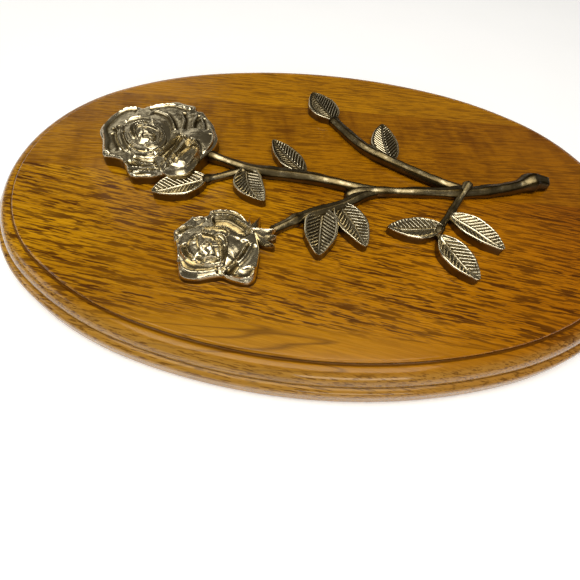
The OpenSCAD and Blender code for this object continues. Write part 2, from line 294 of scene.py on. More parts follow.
def oak(name, turn, seed, light, middle, ring_gap, pores, figure, ruddy, calm=False):
    """Lacquered golden oak: growth bands, open pores, fibres and soft figure across the grain.

    A calm one turns smooth and pale toward the board's front edge, with a few long lines."""
    material, tree, shader = new_material(name)
    shift = tuple(seed * away for away in SEED_SHIFT)

    def streaks(stretch, detail, roughness=0.5, slant=0):
        """Noise stretched along the grain, or along a slant from it."""
        return noise(tree, in_millimetres(tree, turn + slant, shift, stretch), 1.0, detail, roughness)

    def tint(base, where, strength, colour):
        """Mixes a colour in where a grey level says."""
        return blend(tree, "MIX", maths(tree, "MULTIPLY", where, strength), base, colour)

    # Growth bands run along the stave and wander slowly.
    wander = streaks((0.006, 0.022, 0.03), 3.0)
    across = split(tree, in_millimetres(tree, turn, shift))[1]
    bowed = maths(tree, "MULTIPLY_ADD", wander, BAND_WANDER * ring_gap, across)
    bands = maths(tree, "FRACT", maths(tree, "DIVIDE", bowed, ring_gap))
    band = ramp(tree, bands, [(0.0, 0.85), (0.3, 0.25), (0.8, 0.0), (1.0, 0.85)])

    # Open pores are short dark dashes, thickest in the early wood of each band.
    dash = ramp(tree, streaks((0.06, 0.68, 0.68), 2.0, 0.62), [(0.51, 0.0), (0.56, 1.0)])
    fine = ramp(tree, streaks((0.13, 1.6, 1.6), 2.0, 0.6), [(0.53, 0.0), (0.6, 1.0)])
    dense = ramp(tree, streaks((0.016, 0.04, 0.04), 2.0), [(0.35, 0.65), (0.52, 1.0)])
    banded = maths(tree, "MULTIPLY_ADD", band, 0.3, 0.9)
    dashes = maths(tree, "MAXIMUM", dash, maths(tree, "MULTIPLY", fine, FINE_DASHES))
    pore = maths(tree, "MULTIPLY", dashes, maths(tree, "MULTIPLY", banded, dense))
    plain = split(tree, in_millimetres(tree))
    below_face = fade(tree, plain[2], STEP_Z, STEP_Z - 1)
    if calm:
        # Past a ragged line there are few pores on the face, and fine flecks down the routed edge.
        ragged = maths(tree, "MULTIPLY_ADD", wander, CALM_WANDER, plain[1])
        start = CALM_LINE + 0.5 * CALM_WANDER
        lively = fade(tree, ragged, start - CALM_FADE, start + CALM_FADE)
        pore = maths(tree, "MULTIPLY", pore, maths(tree, "MULTIPLY_ADD", lively, 1 - CALM_PORES, CALM_PORES))
        flecks = maths(tree, "MULTIPLY_ADD", fine, FLECKS, maths(tree, "MULTIPLY", pore, 0.4))
        pore = maths(tree, "MULTIPLY_ADD", below_face, maths(tree, "SUBTRACT", flecks, pore), pore)

    # Fibres, slow changes of tone, and silky figure across the grain.
    fibres = streaks((0.02, 0.9, 0.9), 4.0, 0.7)
    tone = streaks((0.007, 0.02, 0.02), 3.0)
    silk = streaks((0.11, 0.028, 0.03), 3.0, 0.55, SILK_SLANT)
    shade = maths(tree, "ADD", maths(tree, "MULTIPLY", fibres, FIBRE_SHARE),
                  maths(tree, "MULTIPLY", tone, TONE_SHARE))
    shade = maths(tree, "MULTIPLY_ADD", silk, figure, shade)
    shade = maths(tree, "SUBTRACT", shade, 0.5 * figure)
    colour = ramp(tree, shade, [(0.5, middle), (0.76, light)])
    if calm:
        quiet = maths(tree, "SUBTRACT", 1.0, lively)
        colour = tint(colour, quiet, CALM_TINT, PALE_OAK)
        loops = noise(tree, in_millimetres(tree, CALM_TURN, shift, (0.008, 0.085, 0.085)), 1.0, 1.0)
        lines = ramp(tree, loops, [(0.472, 0.0), (0.488, 0.7), (0.502, 0.0)])
        colour = tint(colour, quiet, lines, UMBER)
    colour = tint(colour, band, BAND_TINT * pores, middle)
    redder = fade(tree, plain[0], RUDDY_FROM, RUDDY_TO, ruddy)
    colour = blend(tree, "MULTIPLY", redder, colour, RUDDY)
    colour = tint(colour, below_face, EDGE_TINT, EDGE_BROWN)
    colour = tint(colour, pore, PORE_TINT * pores, UMBER)
    # Painted shade: umber darkens the channel and the quirk of the routed edge.
    colour = tint(colour, stored(tree, "painted_shade"), PAINTED_SHADE_TINT, UMBER)
    tree.links.new(colour, shader.inputs["Base Color"])

    sunk = maths(tree, "SUBTRACT", maths(tree, "MULTIPLY", fibres, 0.8), pore)
    bump = add(tree, "ShaderNodeBump", {"Strength": 0.2, "Distance": 0.15 * MM, "Height": sunk})
    tree.links.new(bump.outputs[0], shader.inputs["Normal"])
    rough = ramp(tree, fibres, [(0.3, 0.2), (0.7, 0.32)])
    tree.links.new(rough, shader.inputs["Roughness"])
    shader.inputs["Specular IOR Level"].default_value = 0.25
    shader.inputs["Specular Tint"].default_value = (1.0, 0.76, 0.36, 1)
    # The lacquer shines most on the rounded mouldings, and little on the flat face.
    rounded = ramp(tree, uprightness(tree), [(0.0, 0.1), (0.3, 0.9), (0.88, 0.9), (0.99, 0.28)])
    tree.links.new(rounded, shader.inputs["Coat Weight"])
    shader.inputs["Coat Roughness"].default_value = 0.08
    shader.inputs["Coat IOR"].default_value = 1.4
    return material


WORN_METAL, AGED_METAL = (0.78, 0.7, 0.5), (0.54, 0.47, 0.31)
PATINA, DEEP_PATINA = (0.18, 0.14, 0.07), (0.04, 0.026, 0.008)


def cast_metal():
    """Antiqued and polished casting: bright worn relief, brown patina in hollows, and walls darkened as
    patina and as painted shade.
    """
    material, tree, shader = new_material("cast_metal")
    place = in_millimetres(tree)
    cloud = noise(tree, place, 0.16, 4.0, 0.6)
    grit = noise(tree, place, 1.3, 3.0, 0.6)
    # The walls are darkened where they face little upward: patina, and painted shade down the sides.
    side = ramp(tree, uprightness(tree), [(0.12, 0.65), (0.5, 0.0)])
    wear_and_shade = maths(tree, "MULTIPLY_ADD", cloud, 0.16, maths(tree, "SUBTRACT", stored(tree, "hollow"), 0.08))
    wear_and_shade = maths(tree, "MAXIMUM", wear_and_shade, side)
    colour = ramp(tree, wear_and_shade, [(0.32, WORN_METAL), (0.5, AGED_METAL), (0.62, PATINA), (0.85, DEEP_PATINA)])
    tree.links.new(colour, shader.inputs["Base Color"])
    dull = maths(tree, "MULTIPLY_ADD", grit, 0.1, ramp(tree, wear_and_shade, [(0.45, 0.13), (0.75, 0.36)]))
    tree.links.new(dull, shader.inputs["Roughness"])
    bump = add(tree, "ShaderNodeBump", {"Strength": 0.35, "Distance": 0.16 * MM, "Height": grit})
    tree.links.new(bump.outputs[0], shader.inputs["Normal"])
    shader.inputs["Metallic"].default_value = 1.0
    return material


def zinc_steel():
    """Plated steel of the fixings on the back."""
    material, tree, shader = new_material("zinc_steel")
    place = in_millimetres(tree)
    cloud = noise(tree, place, 0.5, 4.0, 0.6)
    colour = ramp(tree, cloud, [(0.35, (0.5, 0.5, 0.48)), (0.65, (0.68, 0.69, 0.7))])
    tree.links.new(colour, shader.inputs["Base Color"])
    scratches = noise(tree, in_millimetres(tree, 20, (0, 0, 0), (0.2, 6, 6)), 1.0, 2.0)
    rough = ramp(tree, scratches, [(0.3, 0.28), (0.7, 0.42)])
    tree.links.new(rough, shader.inputs["Roughness"])
    shader.inputs["Metallic"].default_value = 1.0
    return material


def floor_paper():
    """Pale seamless paper."""
    material, tree, shader = new_material("floor_paper")
    mottle = noise(tree, in_millimetres(tree), 0.02, 3.0)
    colour = ramp(tree, mottle, [(0.3, (0.9, 0.92, 0.96)), (0.7, (0.92, 0.94, 0.98))])
    tree.links.new(colour, shader.inputs["Base Color"])
    shader.inputs["Roughness"].default_value = 0.9
    shader.inputs["Specular IOR Level"].default_value = 0.1
    shader.inputs["Emission Color"].default_value = (1, 1, 1, 1)
    shader.inputs["Emission Strength"].default_value = 0.27
    return material


# ---- board ------------------------------------------------------------------

END_R = 95
END_DIR = (0.6, 0.8)
SIDE_DIR = (0.28, 0.96)
SWEEP_STEP = 2.0
ARRIS_R = 1.2
STEP_INSET, STEP_Z = 11.3, 17.2
CHANNEL_W, CHANNEL_DEPTH = 1.3, 0.45
OVOLO_R, OVOLO_INSET = 6.4, 3.2
BEAD_R, BEAD_TOP = 3.0, 10.4
BACK_ROUND = 2.0
BOARD_SHARP = 30


def oval_arcs():
    """Normal direction where each tangent arc of a quarter starts, with its centre and radius."""
    end_x = HALF_L - END_R
    meet = (end_x + END_R * END_DIR[0], END_R * END_DIR[1])
    slope = (1 - SIDE_DIR[1]) / SIDE_DIR[0]
    shoulder_r = (HALF_W - meet[1] - meet[0] * slope) / (1 - END_DIR[1] - END_DIR[0] * slope)
    shoulder = (meet[0] - shoulder_r * END_DIR[0], meet[1] - shoulder_r * END_DIR[1])
    side_r = shoulder_r + shoulder[0] / SIDE_DIR[0]
    starts = (0, math.atan2(END_DIR[1], END_DIR[0]), math.atan2(SIDE_DIR[1], SIDE_DIR[0]), math.pi / 2)
    return starts, ((end_x, 0), shoulder, (0, HALF_W - side_r)), (END_R, shoulder_r, side_r)


def oval_stations():
    """Centre, radius and unit normal of evenly spaced stations once round the oval."""
    starts, centres, radii = oval_arcs()
    quarter = []
    for k in range(3):
        count = round((starts[k + 1] - starts[k]) * radii[k] / SWEEP_STEP)
        for a in np.linspace(starts[k], starts[k + 1], count, endpoint=False):
            quarter.append((*centres[k], radii[k], math.cos(a), math.sin(a)))
    last = (*centres[2], radii[2], 0.0, 1.0)
    quarter = np.array(quarter)
    left = np.vstack([[last], quarter[:0:-1]]) * (-1, 1, 1, -1, 1)
    upper = np.vstack([quarter, left])
    leftmost = quarter[:1] * (-1, 1, 1, -1, 1)
    return np.vstack([upper, leftmost, upper[:0:-1] * (1, -1, 1, 1, -1)])


def quarter_round(inset, z, radius, start, end, steps):
    """Clean arc of the edge's section, between two angles in degrees; 0 points out of the board."""
    angles = np.radians(np.linspace(start, end, steps + 1))
    return [(inset - radius * math.cos(a), z + radius * math.sin(a), 0.0) for a in angles]


def edge_section():
    """Section of the routed edge from face to back: inset, height, and how much painted shade darkens it."""
    floor_z = STEP_Z - CHANNEL_DEPTH
    channel = [
        (STEP_INSET + 0.2, STEP_Z + 0.2, 0.9),
        (STEP_INSET + 0.1, floor_z + 0.1, 1.0),
        (STEP_INSET - 0.3 * CHANNEL_W, floor_z, 1.0),
        (STEP_INSET - 0.7 * CHANNEL_W, floor_z + 0.15, 0.8),
        (STEP_INSET - CHANNEL_W, STEP_Z, 0.0),
    ]
    quirk = [
        (OVOLO_INSET + 0.1, STEP_Z - OVOLO_R - 0.1, 0.4),
        (OVOLO_INSET + 0.45, STEP_Z - OVOLO_R - 0.3, 1.0),
        (OVOLO_INSET + 0.1, BEAD_TOP, 0.7),
    ]
    return (
        quarter_round(STEP_INSET + ARRIS_R, TOP - ARRIS_R, ARRIS_R, 90, 8, 6)
        + channel
        + quarter_round(OVOLO_INSET + OVOLO_R, STEP_Z - OVOLO_R, OVOLO_R, 90, 4, 14)
        + quirk
        + quarter_round(BEAD_R, BEAD_TOP - BEAD_R, BEAD_R, 84, 0, 8)
        + quarter_round(BACK_ROUND, BACK_ROUND, BACK_ROUND, 0, -90, 6)
    )


def board_blank():
    """The whole board before it is cut into its staves, with its painted shade stored at each point."""
    stations = oval_stations()
    rings, painted_shades = [], []
    for inset, z, painted_shade in edge_section()[::-1]:
        reach = (stations[:, 2] - inset)[:, None]
        plan = stations[:, :2] + reach * stations[:, 3:5]
        rings.append(np.column_stack([plan, np.full(len(plan), z)]))
        painted_shades += [painted_shade] * len(plan)
    board = mesh_object("board", *loft(rings), BOARD_SHARP)
    store(board.data, "painted_shade", painted_shades)
    return board


def solid_cutter(build):
    """An object that a pocket is cut with. It is removed once the board is cut."""
    bm = bmesh.new()
    build(bm)
    mesh = bpy.data.meshes.new("cutter")
    bm.to_mesh(mesh)
    bm.free()
    made = bpy.data.objects.new("cutter", mesh)
    bpy.context.scene.collection.objects.link(made)
    return made


def round_cutter(x, y, radius, z0, z1):
    """Upright cylinder between two heights."""
    def build(bm):
        bmesh.ops.create_cone(bm, cap_ends=True, segments=64, radius1=radius * MM, radius2=radius * MM,
                              depth=(z1 - z0) * MM,
                              matrix=Matrix.Translation(Vector((x, y, (z0 + z1) / 2)) * MM))
    return solid_cutter(build)


def box_cutter(x0, x1, y0, y1, z0, z1):
    """Upright box."""
    def build(bm):
        middle = Vector(((x0 + x1) / 2, (y0 + y1) / 2, (z0 + z1) / 2)) * MM
        size = Matrix.Diagonal(((x1 - x0) * MM, (y1 - y0) * MM, (z1 - z0) * MM, 1))
        bmesh.ops.create_cube(bm, size=1, matrix=Matrix.Translation(middle) @ size)
    return solid_cutter(build)


# The pockets of the CAD part, except that the stud holes stop short of the face. What opens at the back
# is cut from behind it.
STUDS = [(-97, 14), (-52, -55), (102, -1)]
COUNTERBORE_R, COUNTERBORE_DEPTH = 8.0, 8.0
STUD_HOLE_R, STUD_HOLE_TOP = 2.25, TOP - 2
POCKET_HALF_W, POCKET_HALF_L, POCKET_DEPTH = 5.75, 11.75, 8.0
FIT = 0.15
BEHIND = -1


def back_cutters():
    """Counterbores, stud holes, the hanger's recess and its deeper pocket."""
    cutters = []
    for x, y in STUDS:
        cutters.append(round_cutter(x, y, COUNTERBORE_R, BEHIND, COUNTERBORE_DEPTH))
        cutters.append(round_cutter(x, y, STUD_HOLE_R, 1, STUD_HOLE_TOP))
    low, high = (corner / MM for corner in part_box("hanger_plate"))
    mid_y, end_r = (low.y + high.y) / 2, (high.y - low.y) / 2
    for x in (low.x + end_r, high.x - end_r):
        cutters.append(round_cutter(x, mid_y, end_r + FIT, BEHIND, high.z))
    cutters.append(box_cutter(low.x + end_r, high.x - end_r, low.y - FIT, high.y + FIT, BEHIND, high.z))
    cutters.append(box_cutter(-POCKET_HALF_W, POCKET_HALF_W, mid_y - POCKET_HALF_L, mid_y + POCKET_HALF_L,
                              BEHIND, POCKET_DEPTH))
    return cutters


def overlaps(piece, cutter):
    """Whether two objects' boxes overlap."""
    a, b = (np.array([v.co for v in o.data.vertices]) for o in (piece, cutter))
    return bool((a.min(0) < b.max(0)).all() and (b.min(0) < a.max(0)).all())


def cut_pockets(piece, cutters):
    """Cuts the back pockets that reach into a stave."""
    for cutter in cutters:
        if not overlaps(piece, cutter):
            continue
        step = piece.modifiers.new("pocket", "BOOLEAN")
        step.operation = "DIFFERENCE"
        step.solver = "EXACT"
        step.object = cutter
    depsgraph = bpy.context.evaluated_depsgraph_get()
    cut = bpy.data.meshes.new_from_object(piece.evaluated_get(depsgraph))
    piece.modifiers.clear()
    piece.data = cut
    cut.set_sharp_from_angle(angle=math.radians(BOARD_SHARP))


LEVEL = 0.999
MANY_CORNERS = 20


def stave(node, y0, y1, board, material, cutters):
    """The board between two lines across its width."""
    piece = bpy.data.objects.new(node + "_wood", board.data.copy())
    bpy.context.scene.collection.objects.link(piece)
    bm = bmesh.new()
    bm.from_mesh(piece.data)
    for y, keep in ((y0, 1), (y1, -1)):
        if abs(y) > HALF_W:
            continue
        geometry = bm.verts[:] + bm.edges[:] + bm.faces[:]
        bmesh.ops.bisect_plane(bm, geom=geometry, plane_co=(0, y * MM, 0), plane_no=(0, -keep, 0),
                               clear_outer=True)
        bmesh.ops.holes_fill(bm, edges=[e for e in bm.edges if e.is_boundary])
    bmesh.ops.recalc_face_normals(bm, faces=bm.faces[:])
    # The face, the back and the long joints are flat.
    for face in bm.faces:
        if abs(face.normal.z) > LEVEL or len(face.verts) > MANY_CORNERS:
            face.smooth = False
    bm.to_mesh(piece.data)
    bm.free()
    cut_pockets(piece, cutters)
    dress(piece, node, material)


def build_board():
    """Four staves. The two front ones match, so the joint between them hardly shows."""
    board = board_blank()
    cutters = back_cutters()
    beyond = 2 * HALF_W
    back = oak("oak_back", 1, 1, (0.56, 0.25, 0.002), (0.38, 0.155, 0.001), 9, 0.6, 0.1, 0.2)
    middle = oak("oak_middle", -2, 2, (0.43, 0.185, 0.002), (0.23, 0.086, 0.001), 14, 0.6, 0.65, 0.65)
    front = oak("oak_front", 9, 3, (0.65, 0.315, 0.003), (0.38, 0.16, 0.002), 11, 1.0, 0.12, 1.0, True)
    stave("stave_back", JOINT_BACK, beyond, board, back, cutters)
    stave("stave_middle", JOINT_MIDDLE, JOINT_BACK, board, middle, cutters)
    stave("stave_front", JOINT_FRONT, JOINT_MIDDLE, board, front, cutters)
    stave("stave_front_edge", -beyond, JOINT_FRONT, board, front, cutters)
    for spent in cutters + [board]:
        bpy.data.objects.remove(spent)


# ---- roses ------------------------------------------------------------------


def fold(*line, ridge=0.8, thick=0.75, groove=0.9, cup=0.6, reach=2.2):
    """A petal's lip along plan points, which run counter-clockwise round the rose.

    It adds a ridge of some height and thickness, a groove outside it and a wider cup inside it."""
    return {"line": line, "ridge": ridge, "thick": thick, "groove": groove, "cup": cup, "reach": reach}


def puff(*line, ridge, thick, groove=1.0, cup=0.5, reach=2.4):
    """A fold with a rounder lip."""
    return fold(*line, ridge=ridge, thick=thick, groove=groove, cup=cup, reach=reach)


def hollow_beside(distance, reach):
    """Depth of a smooth hollow that starts at a line and is deepest at its reach."""
    u = np.maximum(distance, 0) / reach
    return u * np.exp(1 - u)


FOLD_FADE = 1.8
GROOVE_REACH = 0.95


def fold_relief(x, y, petal):
    """Height that one fold adds over the plan points of its mass. It fades at both ends."""
    curve = spline(petal["line"], 6)
    spans = np.hypot(*np.diff(curve, axis=0).T)
    walked = np.concatenate([[0], np.cumsum(spans)])
    nearest = np.full(x.shape, np.inf)
    inward = np.zeros_like(x)
    place = np.zeros_like(x)
    for k, span in enumerate(spans):
        run = (curve[k + 1] - curve[k]) / span
        off_x, off_y = x - curve[k, 0], y - curve[k, 1]
        along = np.clip(off_x * run[0] + off_y * run[1], 0, span)
        distance = np.hypot(off_x - along * run[0], off_y - along * run[1])
        side = np.sign(run[0] * off_y - run[1] * off_x)
        nearer = distance < nearest
        nearest = np.where(nearer, distance, nearest)
        inward = np.where(nearer, side * distance, inward)
        place = np.where(nearer, walked[k] + along, place)
    strength = np.clip(np.minimum(place, walked[-1] - place) / FOLD_FADE, 0, 1)
    strength = strength**2 * (3 - 2 * strength)
    relief = petal["ridge"] * np.exp(-((inward / petal["thick"]) ** 2))
    relief -= petal["cup"] * hollow_beside(inward, petal["reach"])
    relief -= petal["groove"] * hollow_beside(-inward, GROOVE_REACH)
    return strength * relief


RIM_ROUND = 1.1
SURFACE_RIPPLE = 0.12
WALL_FLARE = ((0.3, 0.12), (0.65, 0.22), (1.0, 0.3))
MASS_AROUND, MASS_OUTWARD = 360, 84


def petal_mass(centre, outline, folds, rim, crown, tilt, seed, z0=0.0):
    """Closed skin of a cast mass of petals: a folded dome over an outline, with a wall down to its foot.

    It rises toward the back of the board by its tilt."""
    dense = spline(outline, 12, closed=True) - centre
    angles = np.arctan2(dense[:, 1], dense[:, 0])
    order = np.argsort(angles)
    theta = np.linspace(-math.pi, math.pi, MASS_AROUND, endpoint=False)
    reach = np.interp(theta, angles[order], np.hypot(*dense.T)[order], period=2 * math.pi)
    share = np.linspace(0, 1, MASS_OUTWARD)[1:, None]
    x = centre[0] + share * reach * np.cos(theta)
    y = centre[1] + share * reach * np.sin(theta)
    z = rim + (crown - rim) * (1 - share**2) + tilt * (y - centre[1]) + SURFACE_RIPPLE * ripple(x, y, seed)
    for petal in folds:
        z += fold_relief(x, y, petal)
    from_rim = np.clip((1 - share) * reach / RIM_ROUND, 0, 1)
    z -= RIM_ROUND * (1 - np.sqrt(1 - (1 - from_rim) ** 2))
    rings = [np.column_stack([x[k], y[k], z[k]]) for k in range(len(z))]
    for drop, flare in WALL_FLARE:
        rings.append(np.column_stack([x[-1] + flare * np.cos(theta), y[-1] + flare * np.sin(theta),
                                      z[-1] + drop * (z0 - z[-1])]))
    return loft((np.array(rings) + (0, 0, TOP))[::-1])


BIG_OUTLINE = [(-61.5, 16), (-64, 23.5), (-66.5, 29), (-71, 34.5), (-74, 38.5), (-78.5, 39.5),
               (-79.5, 43.5), (-85, 44.8), (-92, 46.5), (-100, 44), (-106.5, 41), (-110.5, 37.5),
               (-115, 39), (-121, 37), (-124.5, 32), (-128.5, 22), (-129, 15), (-125, 7.5), (-123, 1),
               (-120.5, -4), (-114.5, -4.8), (-109.5, -6.5), (-106, -12), (-102, -16.5), (-95.5, -16),
               (-88, -14.5), (-79, -13), (-72, -8), (-67.5, 0), (-63.5, 8)]
BIG_CENTRE = (-95, 14)
BIG_OUTER_FOLDS = [
    puff((-112, 36.5), (-119, 35), (-123.5, 29), (-126.5, 20.5), (-126, 14), (-122.5, 7), (-120.5, 0),
         (-117.5, -3), ridge=1.2, thick=1.5),
    fold((-121, 18.5), (-115.5, 11.5), (-112, 5.5), (-107.5, -1.5), ridge=1.0, thick=0.6),
    fold((-119.5, 14.5), (-117, 7.5), (-111.5, -0.5), ridge=0.9, thick=0.6),
    puff((-108, -8.5), (-104, -12), (-98, -12), (-89, -10.5), ridge=1.7, thick=1.3, groove=1.3),
    fold((-102, -15.8), (-98.5, -13.8), (-94, -13.6), (-85, -13), ridge=1.2, thick=0.7),
    puff((-104.5, -6.5), (-98, -9), (-90.5, -8.5), ridge=1.5, thick=1.1, cup=1.0),
    fold((-66.5, 6), (-64, 13), (-64, 18), (-67, 25)),
    puff((-80.5, 39), (-86.5, 40.8), (-93.5, 42.3), (-100, 41), (-107, 37.5), ridge=1.0, thick=1.1,
         groove=1.2),
    fold((-85.5, 17.5), (-89.5, 26), (-94, 31.5), (-102.5, 35.5), ridge=1.2, groove=1.2, cup=0.8),
    fold((-82.5, 20), (-83, 29), (-86.5, 35.5), ridge=0.7, groove=1.1),
    fold((-76, 19), (-77.5, 27), (-77, 35.5), ridge=0.9, groove=1.2),
    fold((-69.5, 16), (-71, 25), (-74, 33), ridge=0.8),
    puff((-92, -2), (-88, 4), (-84.5, 11), (-83, 16.5), ridge=1.2, thick=1.0, groove=1.6),
]
BIG_SIDE_FOLDS = [
    puff((-87, -7), (-84, 1), (-82, 7), (-81.5, 14), ridge=2.0, thick=1.1, groove=2.2, cup=1.4),
    puff((-83.5, -6), (-79.5, 2), (-75.5, 11.5), ridge=1.7, thick=1.0, groove=2.0, cup=1.0),
    puff((-80, -3.5), (-77, 2), (-73, 8.5), ridge=1.4, thick=0.9, groove=2.4, cup=1.0),
    puff((-85, -12.5), (-79, -12.5), (-74, -10.5), (-71.5, -6), (-70, 0), (-70.5, 5.5), (-73.5, 9.5),
         ridge=1.9, thick=1.3, cup=2.2, reach=2.8),
    fold((-67.5, -1), (-65.5, 5), (-63.5, 12), (-64, 19)),
]
BIG_SIDE_OUTLINE = [(-63.5, 12), (-64.5, 20), (-69.5, 22), (-77, 22), (-82.5, 17), (-86, 8), (-88.5, -3),
                    (-87.5, -12), (-84, -14.5), (-78, -14.5), (-73, -12.5), (-69.5, -7), (-68, 0),
                    (-65.5, 6)]
BIG_INNER_FOLDS = [
    puff((-98, 19), (-100.5, 23), (-106.5, 25), (-112, 23.5), (-115.5, 19), ridge=1.6, thick=1.5,
         groove=1.0),
    puff((-93.5, -0.5), (-90.5, 6), (-91.5, 12), (-95.5, 18), ridge=1.2, thick=1.1),
    fold((-106, 0.5), (-102.5, -2.2), (-97, -2.8), (-92.5, -1), ridge=0.7, cup=1.0),
    fold((-115.5, 17.5), (-113.5, 10.5), (-109.5, 3.5), (-105.5, -1), ridge=1.0),
    fold((-112.5, 13), (-110, 7.5), (-105.5, 2.8), ridge=0.8),
]
BIG_INNER_OUTLINE = [(-86.5, 10), (-88, 18.5), (-93, 24.5), (-100, 27.5), (-108.5, 27.5), (-115, 23),
                     (-118, 15), (-116, 7), (-110.5, 0), (-103, -4.5), (-94, -5), (-88.5, 1)]
BIG_BUD_FOLDS = [
    fold((-95.5, 3), (-94, 5.5), (-95, 8), (-98, 8.5), (-100.5, 6.5), (-100, 3.5), ridge=0.8, thick=0.55,
         reach=1.2),
    fold((-98, 1), (-92.5, 2.5), (-90.5, 7), (-92.5, 12), (-98, 14.2), (-103, 13.5), ridge=1.1,
         reach=1.5),
    fold((-96.5, 16.5), (-101, 18.7), (-106, 18.5), (-109, 15), (-108.5, 10.5), (-105, 4.5), ridge=0.9,
         reach=1.4),
    fold((-100, 15.6), (-104, 16), (-106.5, 13.5), (-105.5, 9), (-102.5, 4), ridge=0.8, thick=0.6,
         reach=1.2),
    fold((-106.5, 3), (-101, -0.5), (-95, -0.5), ridge=0.7, thick=0.6),
]
BIG_BUD_OUTLINE = [(-88.5, 7), (-90.5, 13.5), (-96, 19), (-104, 21), (-110.5, 17.5), (-112, 10),
                   (-107.5, 2.5), (-101, -2), (-92.5, -0.5)]

SMALL_OUTLINE = [(-29.8, -58), (-30.8, -53), (-33.5, -46), (-39.5, -39), (-43, -36), (-50.5, -34.8),
                 (-56, -36), (-57.5, -39.2), (-64, -40.5), (-66, -43), (-71, -48.5), (-71.3, -52.5),
                 (-69, -59), (-66.5, -67), (-63.5, -73), (-57, -74.2), (-50.5, -72.5), (-46, -71.6),
                 (-40.5, -73.2), (-34, -73.8), (-30.5, -71), (-30, -65)]
SMALL_CENTRE = (-51, -55)
SMALL_OUTER_FOLDS = [
    puff((-69.3, -54.5), (-67.5, -60), (-66, -65), ridge=0.8, thick=1.2),
    puff((-65.2, -65.5), (-63, -70), (-58.5, -71.8), (-52, -71), (-47, -69.3), ridge=1.7, thick=2.1,
         groove=0.7),
    puff((-60, -51.5), (-65.5, -52.3), (-70.2, -54.2), ridge=1.7, thick=1.0, groove=1.1),
    puff((-59.5, -48.8), (-66, -47.8), (-70.5, -50.5), ridge=1.5, thick=1.0, groove=0.7, cup=1.2,
         reach=1.4),
    puff((-33.5, -48), (-37.5, -44.3), (-42, -41.8), (-46, -40), (-51.5, -40), (-55.5, -41.3), ridge=1.8,
         thick=1.5, groove=0.6, cup=1.8, reach=2.2),
    fold((-34.5, -44.5), (-40, -39), (-45, -36.5), (-51, -36.3), (-56, -37.6), ridge=0.7),
    fold((-56, -43.2), (-59.5, -41.6), (-64, -42.6), ridge=0.8),
    puff((-45.5, -70.5), (-41.5, -66.5), (-38.5, -61.5), (-35.5, -53), ridge=1.0, thick=0.9, groove=1.7,
         cup=0.5),
    puff((-39.5, -66), (-36.3, -61), (-33.6, -53), ridge=1.3, thick=1.3, groove=0.8),
    puff((-45.5, -71), (-41, -71.8), (-36.5, -72.3), (-32.8, -71.5), (-31, -68.5), (-32, -65), ridge=1.3,
         thick=1.5, cup=0.9),
]
SMALL_INNER_FOLDS = [
    puff((-66, -58), (-64.5, -63), (-60, -67), (-54.5, -68.3), (-47, -67.3), ridge=1.1, thick=1.0,
         cup=1.2, reach=1.6),
    puff((-44.8, -51.8), (-46, -48.8), (-51, -48), (-58, -48.8), ridge=1.5, thick=1.0, cup=1.4,
         reach=1.5),
    fold((-44.5, -57), (-46.5, -52.8), (-51.5, -50.8), ridge=1.0, thick=0.8),
    fold((-45.5, -67), (-44.3, -61), (-45, -56), ridge=0.8, groove=1.2),
]
SMALL_INNER_OUTLINE = [(-42.5, -58), (-43, -51), (-47, -46.5), (-54, -46), (-61, -47), (-66.5, -51.5),
                       (-68, -58.5), (-65, -66), (-58, -70), (-49, -69.8), (-43.5, -66)]
SMALL_BUD_FOLDS = [
    fold((-52, -60), (-52.3, -57.8), (-54.5, -57), (-56, -59), (-54.8, -61.3), ridge=0.7, thick=0.5,
         reach=1.0),
    puff((-46.3, -67), (-46.6, -62.5), (-47.8, -58), (-51, -54), (-58, -52.3), ridge=1.4, thick=0.9,
         cup=1.3, reach=1.3),
    puff((-59.5, -52.6), (-62, -55.7), (-63, -59.5), (-61.3, -63.3), (-58, -65.3), ridge=1.4, thick=1.0,
         reach=1.6),
    fold((-52.5, -64.6), (-56, -62), (-58, -57.5), (-59, -53.5), ridge=0.7, thick=0.6, groove=1.3),
    puff((-58, -65.3), (-54, -65.6), (-49.5, -64.4), (-47, -65), ridge=1.1, thick=0.8, reach=1.3),
]
SMALL_BUD_OUTLINE = [(-45, -60), (-46.5, -54), (-51.5, -51), (-59, -50.5), (-64, -55), (-64.5, -61),
                     (-60.5, -66.5), (-52, -67.8), (-46, -67.5)]

# Each mass: its centre, outline, folds, rim and crown heights, tilt and ripple seed. A mass that stands
# on another one also has the height of its foot.
ROSE_MASSES = {
    "big_rose_outer_petals": (BIG_CENTRE, BIG_OUTLINE, BIG_OUTER_FOLDS, 8.0, 10.4, 0.03, 1),
    "big_rose_side_petals": ((-78, 2), BIG_SIDE_OUTLINE, BIG_SIDE_FOLDS, 8.6, 12.0, 0.05, 2),
    "big_rose_inner_petals": ((-101, 11), BIG_INNER_OUTLINE, BIG_INNER_FOLDS, 9.4, 14.2, 0.04, 3, 3.0),
    "big_rose_bud": ((-100, 9), BIG_BUD_OUTLINE, BIG_BUD_FOLDS, 12.4, 15.6, 0.05, 4, 7.0),
    "small_rose_outer_petals": (SMALL_CENTRE, SMALL_OUTLINE, SMALL_OUTER_FOLDS, 5.6, 8.2, 0.09, 5),
    "small_rose_inner_petals": ((-54, -58), SMALL_INNER_OUTLINE, SMALL_INNER_FOLDS, 7.0, 9.2, 0.09, 6, 3.0),
    "small_rose_bud": ((-54.5, -59), SMALL_BUD_OUTLINE, SMALL_BUD_FOLDS, 8.2, 10.2, 0.09, 7, 5.0),
}


def build_roses(metal):
    """Both roses, each as its nested masses of petals."""
    for node, shape in ROSE_MASSES.items():
        cast(node, petal_mass(*shape), metal, sharp_angle=70, rounds=20, reach=0.6)


# ---- stems ------------------------------------------------------------------

